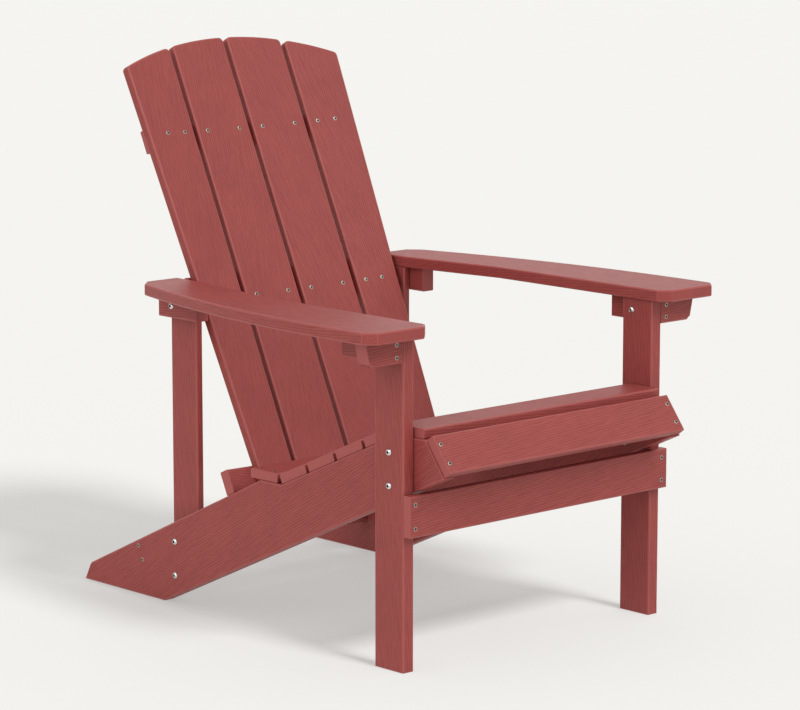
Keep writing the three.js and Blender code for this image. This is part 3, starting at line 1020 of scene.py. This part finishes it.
def backlit_floor(settings):
    """A backlit studio floor: opal acrylic under a matt off-white skin, with the faint stipple
    of its casting. Its own glow lifts the shadows, as on a light table."""
    material, tree, shader = start_material("backlit_opal_acrylic_floor", Roughness=0.95)
    shader.inputs["Specular IOR Level"].default_value = 0.1
    shader.inputs["Emission Color"].default_value = settings.floor_glow
    shader.inputs["Emission Strength"].default_value = settings.glow_strength
    place = add_node(tree, "ShaderNodeTexCoord").outputs["Object"]
    stipple = add_node(tree, "ShaderNodeTexNoise", {"Vector": place, "Scale": 1 / (3 * MM), "Detail": 2})
    tone = add_node(tree, "ShaderNodeMapRange", {
        "Value": stipple.outputs["Fac"], "To Min": 0.995, "To Max": 1.005})
    colour = add_node(tree, "ShaderNodeHueSaturation", {
        "Color": settings.floor_colour, "Value": tone.outputs[0]})
    tree.links.new(colour.outputs[0], shader.inputs["Base Color"])
    return material


def direction(azimuth, elevation):
    """The way from the chair to something at that turn from its front and that height."""
    flat = math.cos(elevation)
    return Vector((math.sin(azimuth) * flat, -math.cos(azimuth) * flat, math.sin(elevation)))


def add_sun(name, strength, spread, azimuth, elevation):
    """A distant lamp, as wide in the sky as its spread."""
    lamp = bpy.data.objects.new(name, bpy.data.lights.new(name, "SUN"))
    lamp.data.energy = strength
    lamp.data.angle = spread
    lamp.rotation_mode = "QUATERNION"
    lamp.rotation_quaternion = direction(azimuth, elevation).to_track_quat("Z", "Y")
    bpy.context.scene.collection.objects.link(lamp)
    return lamp


class CHAIR_OT_stage(bpy.types.Operator):
    """The floor, the studio light and the camera"""
    bl_idname = "chair.stage"
    bl_label = "Stage, light and camera"

    def execute(self, context):
        scene = context.scene
        settings = scene.chair_stage
        scene.view_settings.view_transform = "Standard"

        floor_reach = 60  # metres from the chair to each edge, so that no edge shows
        mesh = bmesh.new()
        bmesh.ops.create_grid(mesh, x_segments=1, y_segments=1, size=floor_reach)
        floor = bpy.data.objects.new("floor", mesh_data("floor", mesh, [backlit_floor(settings)]))
        scene.collection.objects.link(floor)
        floor.location.z = cad_low.z - 0.3 * MM

        world = bpy.data.worlds.new("white_studio")
        world.use_nodes = True
        background = world.node_tree.nodes["Background"]
        background.inputs["Color"].default_value = hex_colour("#fdfcfa")
        background.inputs["Strength"].default_value = settings.sky_strength
        scene.world = world

        key = add_sun("key_light", settings.key_strength, settings.key_spread,
                      settings.key_azimuth, settings.key_elevation)
        side = add_sun("side_light", settings.side_strength, settings.side_spread,
                       settings.side_azimuth, settings.side_elevation)
        rear = add_sun("rear_light", settings.rear_strength, settings.rear_spread,
                       settings.rear_azimuth, settings.rear_elevation)
        for lamp in (key, side, rear):
            lamp.light_linking.receiver_collection = chair_collection()
        ground = bpy.data.collections.new("studio_floor")
        ground.objects.link(floor)
        floor_key = add_sun("floor_key_light", settings.floor_key_strength, settings.floor_key_spread,
                            settings.floor_key_azimuth, settings.floor_key_elevation)
        floor_key.light_linking.receiver_collection = ground

        camera = bpy.data.objects.new("camera", bpy.data.cameras.new("camera"))
        camera.data.lens = settings.lens
        camera.data.sensor_width = 36
        camera.data.clip_end = 200  # metres, past the floor's far edge
        scene.collection.objects.link(camera)
        camera.location = settings.camera_place
        back = direction(settings.camera_azimuth, settings.camera_elevation)
        camera.rotation_mode = "QUATERNION"
        camera.rotation_quaternion = (-back).to_track_quat("-Z", "Y")
        scene.camera = camera
        return {"FINISHED"}


BUILD_ORDER = (
    CHAIR_OT_stringers, CHAIR_OT_legs, CHAIR_OT_arms, CHAIR_OT_arm_supports, CHAIR_OT_seat,
    CHAIR_OT_back, CHAIR_OT_rails, CHAIR_OT_bolts, CHAIR_OT_nuts, CHAIR_OT_stage,
)


class CHAIR_PT_builder(bpy.types.Panel):
    """Buttons that build the chair piece by piece, with its sizes and colours"""
    bl_idname = "CHAIR_PT_builder"
    bl_label = "Garden Chair"
    bl_space_type = "VIEW_3D"
    bl_region_type = "UI"
    bl_category = "Garden Chair"

    def draw(self, context):
        for operator in BUILD_ORDER:
            self.layout.operator(operator.bl_idname)
        for holder in ("chair_lumber", "chair_hardware", "chair_stage"):
            settings = getattr(context.scene, holder)
            box = self.layout.box()
            for name in settings.__annotations__:
                box.prop(settings, name)


SETTINGS = {
    "chair_lumber": LumberSettings,
    "chair_hardware": HardwareSettings,
    "chair_stage": StageSettings,
}
CLASSES = (*SETTINGS.values(), *BUILD_ORDER, CHAIR_PT_builder)


def register():
    for item in CLASSES:
        bpy.utils.register_class(item)
    for name, group in SETTINGS.items():
        setattr(bpy.types.Scene, name, bpy.props.PointerProperty(type=group))


def unregister():
    for name in SETTINGS:
        delattr(bpy.types.Scene, name)
    for item in reversed(CLASSES):
        bpy.utils.unregister_class(item)


def main():
    register()
    for operator in BUILD_ORDER:
        group, name = operator.bl_idname.split(".")
        getattr(getattr(bpy.ops, group), name)()


if __name__ == "__main__":
    main()
